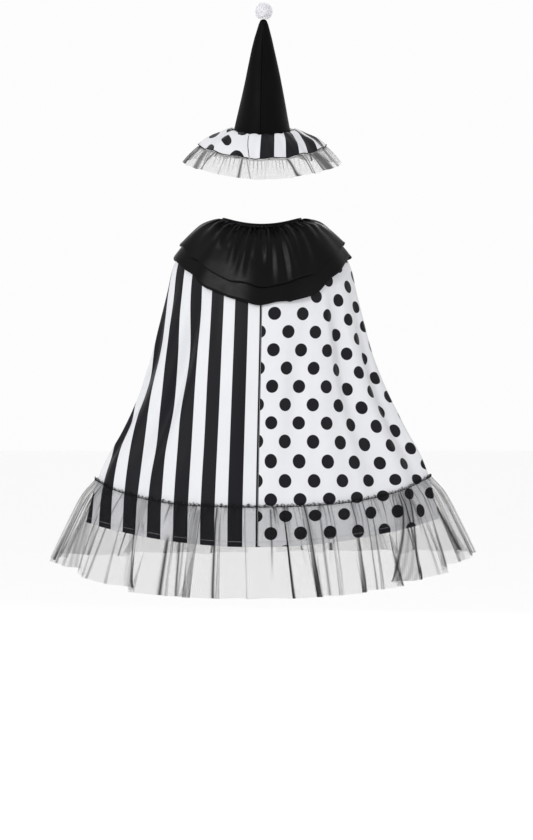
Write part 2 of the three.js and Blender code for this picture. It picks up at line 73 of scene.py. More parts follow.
# The large folds of the cape, as in the solids
FOLDS = table(
    "start_turn hem_turn spread depth start deepest at_hem",
    (-14, -12, 8, 3, 4.2, 8, 1),
    (-27, -24, 8, -4, 4, 8, 0.9),
    (-42, -50, 8.5, -15, 2.9, 5.6, 0.2),
    (-60, -64, 10, 7, 3.2, 7, 0.6),
    (-76, -78, 9, -8, 3.4, 6.5, 0.5),
    (-91, -91, 12, -5, 6.3, 8, 0.2),
    (24, 5, 8, -8, 3.6, 6.5, 0.4),
    (37, 24, 8, 5, 3.4, 7, 0.8),
    (49, 42, 8, -13, 3, 5.4, 0.4),
    (58, 57, 8, 7, 3, 7, 0.8),
    (71, 70, 9, -9, 3.2, 7, 0.6),
    (91, 91, 13, 7, 5.2, 7.6, 0.3),
    (108, 106, 10, -11, 3.2, 7.5, 0.8),
    (124, 121, 10, 10, 3, 8, 1),
    (139, 136, 9, -12, 3, 7, 0.8),
    (153, 149, 8, 8, 3.2, 8, 1),
    (166, 162, 7, -6, 3.6, 8, 1),
    (-106, -104, 11, -10, 3.2, 7.5, 0.9),
    (-121, -119, 10, 10, 3, 8, 1),
    (-137, -133, 9, -13, 3, 7, 0.7),
    (-151, -148, 8, 9, 3.2, 8, 1),
    (-164, -161, 7, -6, 3.6, 8, 1),
)

# Small creases of the cape: soft lines that the solids leave out
CAPE_CREASES = table(
    "start_turn end_turn start end spread depth",
    (-31, -30, 2.6, 6.2, 3.2, -1.6),
    (-19, -20, 3, 5.6, 3, 1.1),
    (-52, -57, 3, 6.8, 4, 2),
    (-67, -70, 3.2, 7.4, 4, -2.2),
    (-36, -41, 5.6, 9.4, 4.4, 1.8),
    (-8, -7, 5.5, 9, 3.6, 0.9),
    (-46, -45, 7.4, 10.8, 4, -1.7),
    (-71, -69, 7, 10.8, 4.4, 2.2),
    (12, 9, 3, 6.4, 3.4, 1),
    (31, 21, 2.9, 6, 3.2, -1.7),
    (43, 36, 3, 7.2, 3.6, 1.9),
    (55, 51, 2.9, 5.4, 3.2, -1.8),
    (33, 30, 6, 10.2, 4.2, -2.2),
    (14, 13, 6.6, 10.4, 4, 1.5),
    (64, 63, 3.4, 8.4, 4, 1.8),
    (51, 49, 7, 10.9, 4, -2),
    (79, 78, 3.6, 8.2, 4.4, 2),
    (100, 99, 3, 8.8, 4.6, 2),
    (115, 113, 3.2, 7.6, 4, -1.8),
    (131, 128, 3.4, 9, 4.4, 2),
    (147, 143, 3, 7, 3.6, -1.7),
    (160, 156, 4, 9.6, 3.8, 1.6),
    (172, 170, 3.4, 8, 3, 1.2),
    (-99, -98, 3.2, 8, 4.4, 2.1),
    (-113, -112, 3, 9, 4.4, -1.9),
    (-129, -126, 3.4, 7.6, 4, 2),
    (-144, -141, 3, 8.6, 4, -1.6),
    (-158, -155, 3.4, 9.2, 3.8, 1.8),
    (-171, -169, 3.8, 8.2, 3, -1.2),
)

FLOUNCE = table(
    "back_z back_y side_z side_x front_z front_y flatness",
    (-680, 132, -618, 398, -640, 149, 1.6),
    (-727, 146, -656, 431, -680, 164, 1.55),
    (-808, 166, -728, 468, -742, 182, 1.45),
    (-889, 187, -802, 503, -806, 201, 1.4),
)
# Each trough of the net flounce, with the size of the ridge after it and how far that ridge leans over
FLOUNCE_FOLDS = table(
    "heading hem depth lean",
    (-180, -180, 9, 1.2),
    (-167, -168, 12, -2.4),
    (-153, -155, 14, 2.6),
    (-139, -141, 11, -1.8),
    (-125, -126, 15, 2.8),
    (-111, -111, 12, -2.2),
    (-98, -97, 7, 2),
    (-85, -84, 8, -2.6),
    (-74, -71, 14, 3),
    (-63, -59, 11, -2.2),
    (-52, -48, 15, 3.2),
    (-42, -38, 16, -3),
    (-30, -27, 11, 2.2),
    (-22, -21, 13, -3.2),
    (-14, -12, 15, 2.4),
    (-5, -3, 12, -1.8),
    (7, 9, 10, 2.6),
    (14, 16, 13, -2.4),
    (23, 22, 11, 2.8),
    (32, 29, 14, -2),
    (40, 35, 10, 3),
    (47, 41, 16, -3.2),
    (56, 49, 13, 2.2),
    (65, 60, 15, -2.8),
    (75, 72, 9, 2.4),
    (86, 84, 6, -2),
    (98, 97, 11, 2.6),
    (111, 111, 14, -2.4),
    (125, 126, 12, 2.2),
    (139, 141, 15, -2.8),
    (153, 155, 12, 2.4),
    (167, 168, 10, -1.6),
    (180, 180, 9, 1.2),
)

# Pressed pleats of the flounce: the fold they start at, how far they stray by the hem, the share of the way
# down where they begin, their half width and how densely the net is bunched there
FLOUNCE_PLEATS = table(
    "start slope begins half strength",
    (0.8, 0.1, 0, 1.5, 0.8),
    (1.9, -0.2, 0.2, 9, 0.3),
    (3.1, 0.1, 0, 1.3, 0.9),
    (4.4, -0.3, 0, 12, 0.32),
    (5.3, 0.2, 0.3, 1.3, 0.8),
    (6.3, 0.1, 0, 6, 0.4),
    (7.1, -0.1, 0, 1.4, 0.9),
    (7.6, 0.1, 0, 1.2, 0.7),
    (8.2, 0.1, 0.1, 7, 0.35),
    (9, -0.15, 0.4, 1.2, 0.8),
    (9.6, -0.1, 0, 1.2, 0.6),
    (10.8, -0.2, 0, 14, 0.36),
    (10.95, -0.22, 0.35, 1.3, 0.95),
    (10.55, 0.05, 0.4, 1.2, 0.85),
    (11.85, 0, 0.45, 1.3, 0.9),
    (12.3, 0, 0.45, 1.3, 0.85),
    (12.85, 0.1, 0.12, 12, 0.42),
    (13.1, 0.05, 0.1, 1.2, 0.8),
    (13.8, 0.07, 0.05, 1.4, 0.9),
    (14.9, 0.05, 0, 1.1, 0.4),
    (16, 0.03, 0.12, 1.9, 1),
    (17.05, -0.07, 0, 1.6, 0.95),
    (17.6, 0.1, 0.1, 1.1, 0.6),
    (19.05, -0.06, 0, 1.4, 0.85),
    (19.6, 0.2, 0, 1.1, 0.7),
    (21, -0.3, 0, 1.3, 0.85),
    (21.6, -0.45, 0, 1.4, 0.8),
    (22.1, -0.4, 0, 14, 0.45),
    (22.35, -0.4, 0, 1.6, 0.9),
    (21.9, -0.35, 0.1, 1.5, 0.9),
    (23.4, -0.2, 0, 1.3, 0.8),
    (24.2, -0.1, 0, 8, 0.35),
    (24.7, 0.1, 0, 1.3, 0.9),
    (25.4, 0.1, 0, 1.4, 0.8),
    (26.3, -0.2, 0.2, 10, 0.32),
    (27.5, 0.1, 0, 1.3, 0.9),
    (28.6, -0.15, 0.35, 1.2, 0.8),
    (29.4, 0.3, 0, 12, 0.33),
    (30.6, -0.1, 0, 1.4, 0.9),
    (31.4, 0.1, 0, 1.3, 0.7),
)
# Pleats under the limit are drawn wider than their half width, and all of them a little denser
NARROW_PLEAT = dict(limit=3, wider=1.35)
PLEAT_DENSER = 1.1
NET_LENGTH = 246  # from the flounce's stitching to its hem
HEADING_HEIGHT = 10  # of the net above its stitching

NECK_STAND = 6.9  # from the cape's top level to the neck band
COLLAR_TOP = 0.06
COLLARS = {
    "collar_upper": dict(back=2.82, side=2.18, front=2.75, lift=6.1, tip_lift=7, gathers=24, gather_depth=4.2,
                         waves=11, wave_depth=4.5, phase=0.7, fine=66, fine_depth=2.1, longer=0.05),
    "collar_lower": dict(back=3.46, side=2.74, front=3.35, lift=3.4, tip_lift=5, gathers=0, gather_depth=0,
                         waves=11, wave_depth=3.4, phase=2.1, fine=50, fine_depth=0.3, longer=0.17),
}
# Longer gathers of the upper collar, from the neck towards its edge
COLLAR_CREASES = table(
    "start_turn end_turn start end spread depth",
    (-66, -50, 0.06, 0.50, 8, 2.6),
    (-50, -38, 0.03, 0.62, 6, 2.2),
    (-36, -30, 0.02, 0.52, 4.5, 2.4),
    (-25, -23, 0.02, 0.85, 4.5, 2.4),
    (-13, -15, 0.02, 0.98, 4.5, 2.8),
    (-4, -6, 0.02, 0.62, 3.6, 1.9),
    (5, 4, 0.02, 0.72, 3.6, 2.2),
    (14, 11, 0.02, 1.1, 4.6, 3.2),
    (24, 21, 0.02, 1.1, 4.6, 3.6),
    (33, 27, 0.02, 0.78, 4, 2.1),
    (44, 35, 0.02, 0.9, 5, 2.7),
    (60, 50, 0.03, 0.62, 6, 2.5),
    (77, 63, 0.06, 0.50, 8, 2.7),
    (96, 92, 0.04, 0.60, 6, 2.2),
    (112, 108, 0.03, 0.85, 6, 2.6),
    (128, 125, 0.02, 0.65, 5, 2.2),
    (142, 139, 0.02, 1, 5, 2.8),
    (155, 153, 0.02, 0.75, 4, 2.2),
    (-92, -90, 0.04, 0.70, 6, 2.3),
    (-108, -104, 0.03, 0.55, 6, 2.4),
    (-124, -121, 0.02, 0.95, 5, 2.6),
    (-138, -136, 0.02, 0.65, 5, 2.3),
    (-150, -149, 0.02, 0.9, 4, 2.4),
)

HAT_PLACE = (1, 15, 211)
HAT_LEAN = (11.5, 0.6)
HAT_OVAL = 1.13
CONE_TOP = 274
CONE_SEAM_TURN = -3
CONE = table(
    "height radius",
    (-38, 79.5),
    (0, 71),
    (72, 56.2),
    (150, 39.4),
    (228, 21.6),
    (262, 12),
    (271, 8),
)
BRIM = table(
    "back_r back_h side_r side_h front_r front_h",
    (71.6, 2, 71.6, 2, 71.6, 2),
    (83, 6, 82, 13, 82, 9),
    (105, -8, 110, 2, 108, 0),
    (124, -27, 134, -9, 132, -15),
    (138, -45, 153, -25, 150, -33),
)
BRIM_END = 4
BRIM_WAVES, BRIM_EDGE_WAVE, BRIM_GATHERS, BRIM_GATHER_DEPTH = 12, 7, 18, 2.4
BRIM_JOIN = (-25, -12)
# The cloth's gathers at the cone sit unevenly: each turn there, and the turn at the edge its threads run to
BRIM_CLOTH_TURN = {
    "striped": ((-25, -2.4, 24, 46.5, 65, 90, 110, 135, 156), (-12, -3, 9.4, 23, 37, 62, 94, 132, 169)),
    "dotted": ((-206, -180, -150, -120, -90, -65, -46, -24.5), (-193, -163, -132, -102, -70, -45, -28, -12)),
}
# Where the print lies on each half of the brim: scale along it, shift along it and shift down it
BRIM_PRINT = {"striped": (1.0, 13, 0), "dotted": (0.8, 1, -13)}
FRILL = table(
    "back_r back_h side_r side_h front_r front_h",
    (139, -49, 154, -29, 151, -37),
    (146, -70, 173, -48, 168, -53),
    (151, -93, 189, -68, 184, -70),
)
FRILL_WAVES, FRILL_EDGE_WAVE, FRILL_FROM, FRILL_UNDER = 20, 5, 3.55, 4.2
# Pressed pleats of the frill: turn at its stitching and at its edge, half width in degrees, and density
FRILL_PLEATS = table(
    "start_turn end_turn half strength",
    (-19, -20, 0.7, 0.9),
    (-15, -11.5, 0.5, 0.6),
    (25, 34, 1.2, 0.95),
    (40, 44.5, 0.6, 0.95),
    (43.5, 47.5, 0.5, 0.9),
    (57, 63, 4.5, 0.85),
    (53, 58, 0.7, 0.95),
    (70, 73, 0.6, 0.8),
    (78, 84, 3, 0.55),
    (5, 3, 0.4, 0.3),
    (-49, -54, 0.7, 0.9),
    (-56, -52, 0.5, 0.7),
    (-63, -62, 5, 0.72),
    (-68, -60, 0.6, 0.9),
    (-76, -80, 0.6, 0.8),
    (-84, -90, 4, 0.7),
    (-36, -41, 0.5, 0.5),
    (98, 94, 0.6, 0.9),
    (109, 113, 3.6, 0.5),
    (121, 118, 0.6, 0.8),
    (134, 139, 0.7, 0.9),
    (150, 147, 3.2, 0.5),
    (163, 166, 0.6, 0.9),
    (177, 174, 0.5, 0.7),
    (-170, -167, 0.7, 0.9),
    (-156, -160, 3.4, 0.5),
    (-143, -140, 0.6, 0.9),
    (-128, -131, 0.5, 0.7),
    (-113, -110, 3.8, 0.55),
    (-101, -105, 0.6, 0.9),
)
NARROW_FRILL_PLEAT = dict(limit=2, wider=1.3)
POMPOM = dict(height=292.0, core=17.2, radius=23.2)


def between(values, level):
    level = np.asarray(level, float)
    i = np.clip(np.floor(level), 0, len(values) - 2).astype(int)
    f = level - i
    a, b, c, d = (values[np.clip(i + k, 0, len(values) - 1)] for k in (-1, 0, 1, 2))
    return b + 0.5 * f * (c - a + f * (2 * a - 5 * b + 4 * c - d + f * (3 * (b - c) + d - a)))


def smoothstep(value, low, high):
    t = np.clip((np.asarray(value, float) - low) / (high - low), 0, 1)
    return t * t * (3 - 2 * t)


def unit(vectors):
    return vectors / np.maximum(np.linalg.norm(vectors, axis=-1, keepdims=True), 1e-9)


def outward(surface, turn, level, step=0.01):
    along = surface(turn + step, level) - surface(turn - step, level)
    down = surface(turn, level + step) - surface(turn, level - step)
    return unit(np.cross(down, along))


def raised(surface, turn, level, height):
    return surface(turn, level) + outward(surface, turn, level) * np.asarray(height)[..., None]


def from_axis(turn):
    """The level direction away from the wearer's axis"""
    return np.stack([np.sin(turn), -np.cos(turn), 0 * turn], -1)


def sideways(normal):
    return unit(np.cross(np.array([0, 0, 1.0]), normal))


def wrapped(angle):
    return (angle + PI) % (2 * PI) - PI


def gather(share, waves, phase):
    uneven = waves * (0.03 * np.sin(6 * PI * share + phase) + 0.016 * np.sin(14 * PI * share + 2 * phase))
    return 0.5 + 0.5 * np.sin(2 * PI * waves * share + uneven)


def centre_value(levels, kind, turn, level):
    back, front = (between(levels[end + kind], level) for end in ("back_", "front_"))
    return np.where(np.cos(turn) > 0, back, front)


def level_point(levels, turn, level, fullness=2.0):
    turn, level = np.broadcast_arrays(np.asarray(turn, float), np.asarray(level, float))
    c = np.cos(turn)
    centre_z = centre_value(levels, "z", turn, level)
    x = between(levels["side_x"], level) * np.sin(turn)
    y = -centre_value(levels, "y", turn, level) * np.sign(c) * np.abs(c) ** between(levels["flatness"], level)
    z = centre_z + (between(levels["side_z"], level) - centre_z) * np.abs(np.sin(turn)) ** fullness
    return np.stack([x, y, z * (1 - HEM_TILT * x)], -1)


def cape_smooth(turn, level):
    return level_point(CAPE, turn, level)


def flounce_smooth(turn, level):
    return level_point(FLOUNCE, turn, level, 3.0)


def ridge(turn, at, spread):
    """A rounded ridge, 1 along at and 0 from spread degrees away"""
    across = np.minimum(np.abs(wrapped(turn - np.radians(at))) / math.radians(spread), 1)
    return np.cos(across * PI / 2) ** 2


def fold_depth(turn, level):
    total = 0
    for k in range(len(FOLDS["depth"])):
        start, deepest, at_hem = (FOLDS[name][k] for name in ("start", "deepest", "at_hem"))
        way = (level - start) / (HEM_LEVEL - start)
        at = FOLDS["start_turn"][k] + (FOLDS["hem_turn"][k] - FOLDS["start_turn"][k]) * way
        shape = ridge(turn, at, FOLDS["spread"][k])
        left = 1 - (1 - at_hem) * smoothstep(level, deepest, HEM_LEVEL)
        total = total + FOLDS["depth"][k] * shape * smoothstep(level, start, deepest) * left
    return total


def crease_depth(rows, turn, level, width):
    """Depth of the table's creases, each width times as wide as its spread"""
    total = 0
    for k in range(len(rows["depth"])):
        start, end = rows["start"][k], rows["end"][k]
        way = np.clip((level - start) / (end - start), 0, 1)
        at = rows["start_turn"][k] + (rows["end_turn"][k] - rows["start_turn"][k]) * way
        shape = ridge(turn, at, rows["spread"][k] * width) * np.sin(PI * way) ** 0.8
        total = total + rows["depth"][k] * shape
    return total


def seam_drift(level):
    return SEAM_DRIFT * smoothstep(level, 2, HEM_LEVEL)


def front_half_gap(level):
    return FRONT_HALF_GAP[0] + (FRONT_HALF_GAP[1] - FRONT_HALF_GAP[0]) * level / HEM_LEVEL


def front_edge_turn(half_gap, side_x):
    return PI - np.arcsin(half_gap / side_x)


# Meshes

def attribute(mesh, name, values):
    made = mesh.attributes.new(name, "FLOAT", "POINT")
    made.data.foreach_set("value", np.asarray(values, np.float32).ravel())


def linked(name, data):
    made = bpy.data.objects.new(name, data)
    bpy.context.scene.collection.objects.link(made)
    return made


def mesh_object(name, vertices, faces, *materials):
    """A smooth mesh object from vertices in metres"""
    mesh = bpy.data.meshes.new(name)
    mesh.from_pydata(vertices, [], faces)
    mesh.polygons.foreach_set("use_smooth", [True] * len(faces))
    for material in materials:
        mesh.materials.append(material)
    return linked(name, mesh)


def finish_piece(piece, slot, *nodes):
    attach(piece, "root")
    if nodes:
        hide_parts(*nodes)


def sheet_mesh(name, points, uv, materials, thickness=0.0, closed=False, point_values=None):
    """A grid of points in rows from top to bottom as one sheet, with its outer side along down x along."""
    rows, columns = points.shape[:2]
    spans = columns if closed else columns - 1
    j, i = np.meshgrid(np.arange(rows - 1), np.arange(spans), indexing="ij")
    after = (i + 1) % columns
    row, next_row = j * columns, (j + 1) * columns
    faces = np.stack([row + i, next_row + i, next_row + after, row + after], -1).reshape(-1, 4)
    piece = mesh_object(name, (points.reshape(-1, 3) * MM).tolist(), faces.tolist(), *materials)
    corners = np.stack([uv[j, i], uv[j + 1, i], uv[j + 1, i + 1], uv[j, i + 1]], -2)
    layer = piece.data.uv_layers.new(name="UVMap")
    layer.data.foreach_set("uv", (corners * MM).astype(np.float32).ravel())
    for key, values in (point_values or {}).items():
        attribute(piece.data, key, np.broadcast_to(values, points.shape[:2]))
    if thickness:
        shell = piece.modifiers.new("Cloth", "SOLIDIFY")
        shell.thickness = thickness * MM
        shell.offset = -1
        shell.material_offset = len(materials) - 1
    return piece


def distance_along(points, axis):
    step = np.linalg.norm(np.diff(points, axis=axis), axis=-1)
    start = np.zeros_like(np.take(step, [0], axis))
    return np.concatenate([start, np.cumsum(step, axis)], axis)


def grid_uv(along, down):
    return np.stack(np.broadcast_arrays(along, down), -1)


# Materials

class Shader:
    """A Principled material and short ways to add nodes to it."""

    def __init__(self, name, **inputs):
        self.material = bpy.data.materials.new(name)
        self.material.use_nodes = True
        self.tree = self.material.node_tree
        self.principled = self.tree.nodes["Principled BSDF"]
        for key, value in inputs.items():
            self.set(key.replace("_", " ").title().replace("Ior", "IOR"), value)

    def connect(self, value, socket):
        if isinstance(value, bpy.types.NodeSocket):
            self.tree.links.new(value, socket)
        else:
            socket.default_value = value

    def set(self, name, value):
        self.connect(value, self.principled.inputs[name])

    def node(self, kind, inputs=None, **settings):
        made = self.tree.nodes.new(kind)
        for key, value in settings.items():
            setattr(made, key, value)
        for key, value in (inputs or {}).items():
            self.connect(value, made.inputs[key])
        return made

    def math(self, operation, a, b=0.0, c=0.0):
        return self.node("ShaderNodeMath", {0: a, 1: b, 2: c}, operation=operation).outputs[0]

    def ramp(self, value, low, high, to_low=0.0, to_high=1.0):
        made = self.node("ShaderNodeMapRange", {"Value": value, "From Min": low, "From Max": high,
                                                "To Min": to_low, "To Max": to_high},
                         interpolation_type="SMOOTHSTEP")
        return made.outputs["Result"]

    def mix(self, factor, a, b):
        return self.node("ShaderNodeMix", {0: factor, 6: a, 7: b}, data_type="RGBA").outputs[2]

    def uv(self):
        place = self.node("ShaderNodeUVMap", uv_map="UVMap")
        parts = self.node("ShaderNodeSeparateXYZ", {0: place.outputs[0]})
        return parts.outputs[0], parts.outputs[1]

    def attribute(self, name):
        return self.node("ShaderNodeAttribute", attribute_name=name).outputs["Fac"]

    def noise(self, scale, detail=2.0, roughness=0.5):
        place = self.node("ShaderNodeTexCoord").outputs["Object"]
        made = self.node("ShaderNodeTexNoise", {"Vector": place, "Scale": scale, "Detail": detail,
                                                "Roughness": roughness})
        return made.outputs["Fac"]

    def bump(self, heights):
        """heights lists (height, distance in mm, strength), from the coarsest to the finest."""
        normal = None
        for height, distance, strength in heights:
            made = self.node("ShaderNodeBump", {"Height": height, "Distance": distance * MM,
                                                "Strength": strength})
            if normal is not None:
                self.tree.links.new(normal, made.inputs["Normal"])
            normal = made.outputs["Normal"]
        self.tree.links.new(normal, self.principled.inputs["Normal"])

    def repeat_distance(self, coordinate, middle, period):
        """Distance in metres to the nearest of the lines at middle + n period (mm)"""
        share = self.math("SUBTRACT", self.math("DIVIDE", coordinate, period * MM), middle / period - 0.5)
        offset = self.math("SUBTRACT", self.math("FRACT", share), 0.5)
        return self.math("MULTIPLY", self.math("ABSOLUTE", offset), period * MM)

    def weave(self, period):
        u, v = self.uv()
        scale = 2 * PI / (period * MM)
        across = self.math("SINE", self.math("MULTIPLY", u, scale))
        down = self.math("SINE", self.math("MULTIPLY", v, scale))
        return self.math("MULTIPLY", across, down)


DOT = dict(radius=15.5, column=70.0, row=85.35, first=27.0, second=-8.0)
STRIPE = dict(middle=53.0, period=66.0, width=35.0)
PRINT_BLUR = 0.35  # half the width over which the print's edge fades
HEM_STITCHING = 12  # above the printed hem


def print_mask(shader, kind):
    u, v = shader.uv()
    if kind == "striped":
        away = shader.repeat_distance(u, STRIPE["middle"], STRIPE["period"])
        half = STRIPE["width"] / 2
        return shader.ramp(away, (half + PRINT_BLUR) * MM, (half - PRINT_BLUR) * MM)
    nearest = None
    for column, row in ((DOT["first"], 0.0), (DOT["second"], DOT["row"] / 2)):
        across = shader.repeat_distance(u, column, DOT["column"])
        down = shader.repeat_distance(v, row, DOT["row"])
        across2 = shader.math("MULTIPLY", across, across)
        away = shader.math("SQRT", shader.math("MULTIPLY_ADD", down, down, across2))
        nearest = away if nearest is None else shader.math("MINIMUM", nearest, away)
    return shader.ramp(nearest, (DOT["radius"] + PRINT_BLUR) * MM, (DOT["radius"] - PRINT_BLUR) * MM)


def print_material(name, kind, white, black, sheen):
    shader = Shader(name, specular_ior_level=0.12, sheen_weight=sheen, sheen_roughness=0.45)
    mask = print_mask(shader, kind)
    cloudy = shader.ramp(shader.noise(9, 3), 0.3, 0.7)
    pale = shader.mix(cloudy, (white[0] * 0.975, white[1] * 0.975, white[2] * 0.98, 1), (*white, 1))
    colour = shader.mix(mask, pale, (*black, 1))
    seam = shader.ramp(shader.attribute("seam"), 1.7 * MM, 1.1 * MM)
    colour = shader.mix(seam, colour, (0.012, 0.012, 0.014, 1))
    # The hem's stitching is a dashed line in a shallow groove
    u, _ = shader.uv()
    from_line = shader.math("ABSOLUTE", shader.math("SUBTRACT", shader.attribute("hem"), HEM_STITCHING * MM))
    line = shader.ramp(from_line, 0.55 * MM, 0.3 * MM)
    dash = shader.ramp(shader.repeat_distance(u, 0, 3.2), 1.2 * MM, 1.0 * MM)
    shader.set("Base Color", shader.mix(shader.math("MULTIPLY", line, dash), colour, (0.28, 0.28, 0.30, 1)))
    shader.set("Roughness", shader.ramp(mask, 0, 1, 0.5, 0.42))
    fold_line = shader.math("MULTIPLY", shader.ramp(from_line, 2.2 * MM, 0.0), -1.0)
    shader.bump([(shader.noise(26, 3), 1.2, 0.35), (fold_line, 0.5, 0.7), (shader.noise(150, 2), 0.25, 0.3),
                 (shader.weave(0.55), 0.05, 0.35)])
    return shader.material


def satin_material(name):
    shader = Shader(name, base_color=(0.0007, 0.0007, 0.0010, 1), specular_ior_level=0.1, sheen_weight=0.004,
                    sheen_roughness=0.4, sheen_tint=(0.8, 0.82, 0.86, 1))
    shader.set("Roughness", shader.ramp(shader.noise(30, 3), 0.3, 0.7, 0.28, 0.36))
    shader.bump([(shader.noise(34, 3), 1.0, 0.35), (shader.weave(0.5), 0.05, 0.4)])
    return shader.material


def felt_material(name):
    shader = Shader(name, specular_ior_level=0.045, sheen_weight=0.003, sheen_roughness=0.5)
    fibres = shader.noise(900, 4, 0.7)
    shader.set("Base Color", shader.mix(fibres, (0.0010, 0.0010, 0.0013, 1), (0.0026, 0.0026, 0.0032, 1)))
    shader.set("Roughness", shader.ramp(shader.noise(18, 3), 0.3, 0.7, 0.5, 0.62))
    shader.bump([(shader.noise(24, 2), 1.6, 0.3), (fibres, 0.25, 0.5)])
    return shader.material


def net_material(name, cell=2.1, thread=0.15):
    """Fine net: threads in three directions, closer together where it is bunched or creased"""
    shader = Shader(name, roughness=0.6, specular_ior_level=0.08, sheen_weight=0.01)
    u, v = shader.uv()
    nearest = None
    for across, down in ((1.0, 0.0), (0.5, 0.866), (0.5, -0.866)):
        along = shader.math("MULTIPLY_ADD", v, down, shader.math("MULTIPLY", u, across))
        away = shader.repeat_distance(along, 0, cell)
        nearest = away if nearest is None else shader.math("MINIMUM", nearest, away)
    threads = shader.ramp(nearest, thread * 0.62 * MM, thread * 0.28 * MM)
    shader.set("Alpha", shader.math("MAXIMUM", threads, shader.attribute("bunch")))
    dark, pale = (0.003, 0.003, 0.0035, 1), (0.009, 0.009, 0.010, 1)
    shader.set("Base Color", shader.mix(shader.noise(400, 2), dark, pale))
    return shader.material


def clouded(shader, noise, colour, darker):
    """The colour, uneven down to darker times as bright"""
    return shader.mix(noise, (*[c * darker for c in colour], 1), (*colour, 1))


def thread_material(name, colour):
    shader = Shader(name, roughness=0.6, specular_ior_level=0.12, sheen_weight=0.01)
    shader.set("Base Color", clouded(shader, shader.noise(500, 2), colour, 0.8))
    shader.bump([(shader.weave(1.1), 0.15, 0.5)])
    return shader.material


def fur_material(name):
    shader = Shader(name, roughness=0.9, sheen_weight=0.7, sheen_roughness=0.7)
    along = shader.ramp(shader.attribute("along"), 0, 1)
    shader.set("Base Color", shader.mix(along, (0.80, 0.80, 0.83, 1), (0.90, 0.90, 0.93, 1)))
    shader.bump([(shader.noise(600, 3), 0.3, 0.4)])
    return shader.material


def plain_material(name, colour, roughness):
    shader = Shader(name, roughness=roughness)
    shader.set("Base Color", clouded(shader, shader.noise(3, 2), colour, 0.985))
    return shader.material


WHITE_CLOTH = (0.60, 0.605, 0.625)
BLACK_PRINT = (0.0058, 0.0054, 0.0078)
# On the cloth's reverse the print shows through faintly
REVERSE_WHITE, REVERSE_BLACK = (0.72, 0.72, 0.74), (0.13, 0.13, 0.14)
PRINTS = {}
for kind in ("striped", "dotted"):
    face = print_material(kind + "_cloth", kind, WHITE_CLOTH, BLACK_PRINT, 0.015)
    PRINTS[kind] = (face, print_material(kind + "_cloth_reverse", kind, REVERSE_WHITE, REVERSE_BLACK, 0.05))
SATIN = satin_material("black_satin_cloth")
FELT = felt_material("black_hat_cloth")
NET = net_material("black_net_cloth")
FUR = fur_material("white_fluff")
THREAD = thread_material("black_thread", (0.004, 0.004, 0.0045))
BUTTON = plain_material("black_button_gloss", (0.008, 0.008, 0.009), 0.25)


# The cape

# How much more printed cloth each level holds than its surface is wide: levels, then shares
PRINT_EASE = {
    "striped": ((0, 2, 4, 6, 8, 10, 11), (1.14, 1.11, 1.08, 1.053, 1.03, 1.0, 1.0)),
    "dotted": ((0, 3, 6, 8, 10, 11), (0.99, 0.99, 1.04, 1.03, 1.0, 1.0)),
}
# A panel is cut as a sector of a ring, with its centre edge along the grain
SECTOR = dict(angle=0.3965, inner_radius=561)
FIRST_DOTS = -225.5  # height of a row of dots at the centre
SEAM_DIP = dict(depth=1.3, width=2.6)
FAR = 100  # from any seam or hem


def even_shares(columns, behind):
    """Shares of a quarter turn that spread the columns evenly over the cloth"""
    fine = np.linspace(0, 1, 600)
    turn = (fine if behind else 1 + fine) * PI / 2
    arc = distance_along(cape_smooth(turn, np.full_like(turn, 8.0)), 0)
    return np.interp(np.linspace(0, 1, columns + 1), arc / arc[-1], fine)


def cloth_place(kind, behind, level, arc):
    """Place in the flat cloth, arc mm from the centre edge: u across the grain and v down it"""
    if kind == "striped":
        drift = 1 - smoothstep(level, 2, 10)
    else:
        drift = smoothstep(level, 4, 7) - smoothstep(level, 7, 11)
    first = 0 if kind == "striped" else -4
    u = arc * np.interp(level, *PRINT_EASE[kind]) + first + 3.5 * drift * (1 - np.exp(-arc / 30))
    angle = SECTOR["angle"] * arc / arc.max(axis=1, keepdims=True)
    levels = np.linspace(0, HEM_LEVEL, 400)
    centre_line = cape_smooth(np.full(400, 0.0 if behind else PI), levels)
    down = SECTOR["inner_radius"] + distance_along(centre_line, 0)
    v = np.interp(level[:, 0], levels, down)[:, None] * np.cos(angle) + (83.7 * level - 610) * angle ** 2
    v = v - np.interp(-FIRST_DOTS, -centre_line[:, 2], down)
    v = v - 9 * smoothstep(level, 7.4, 9.2) * (1 - smoothstep(level, 9.3, 10.4))
    return grid_uv(u, v - 3 * smoothstep(level, 9, 10))


def cape_point(turn, level):
    shape = fold_depth(turn, np.minimum(level, HEM_LEVEL)) + crease_depth(CAPE_CREASES, turn, level, 1.6)
    return raised(cape_smooth, turn, level, shape)


